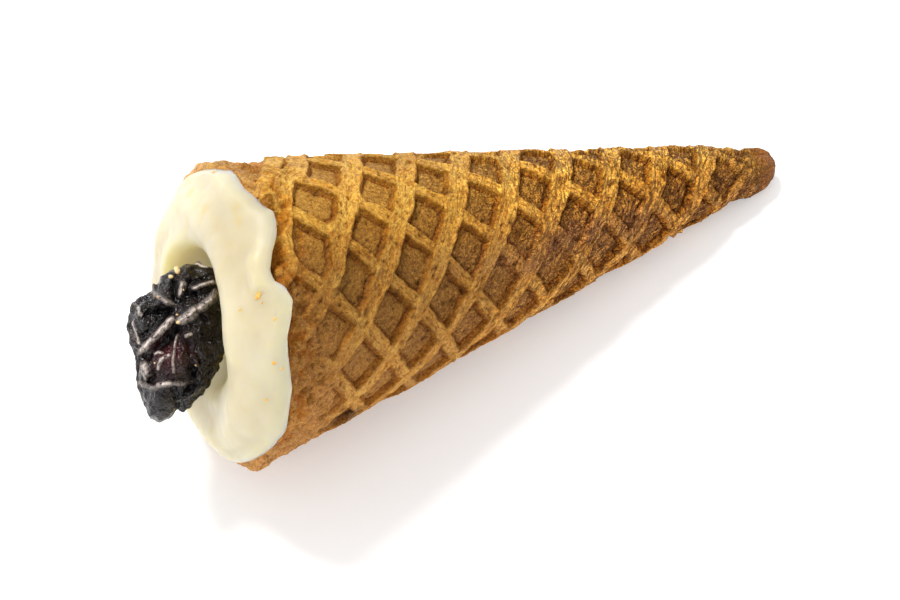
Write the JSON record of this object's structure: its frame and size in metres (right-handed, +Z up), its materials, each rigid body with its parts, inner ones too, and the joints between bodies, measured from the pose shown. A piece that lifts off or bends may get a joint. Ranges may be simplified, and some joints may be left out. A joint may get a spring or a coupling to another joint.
{
  "type": "yogurt-filled waffle cone",
  "caption": "Small rolled waffle cone lying on its side, filled with pale yogurt that swells out of the mouth as a ring round a wrinkled dried berry.",
  "frame": {"origin": "centre of the bounding box at its lowest plane, on the surface that the cone lies on", "axes": "X runs from the filled mouth (-X) to the closed tip (+X), Z is up, and -Y faces the viewer"},
  "size_m": [0.058, 0.0242, 0.0234],
  "materials": {
    "waffle": "baked waffle, golden orange-brown ribs over darker porous panels, dull",
    "yogurt": "smooth pale cream yogurt, soft sheen",
    "berry": "wrinkled black-blue dried berry skin, glossy on its ridges"
  },
  "bodies": {
    "root": {"waffle_cone": "waffle", "yogurt_filling": "yogurt", "dried_berry": "berry"}
  },
  "joints": []
}
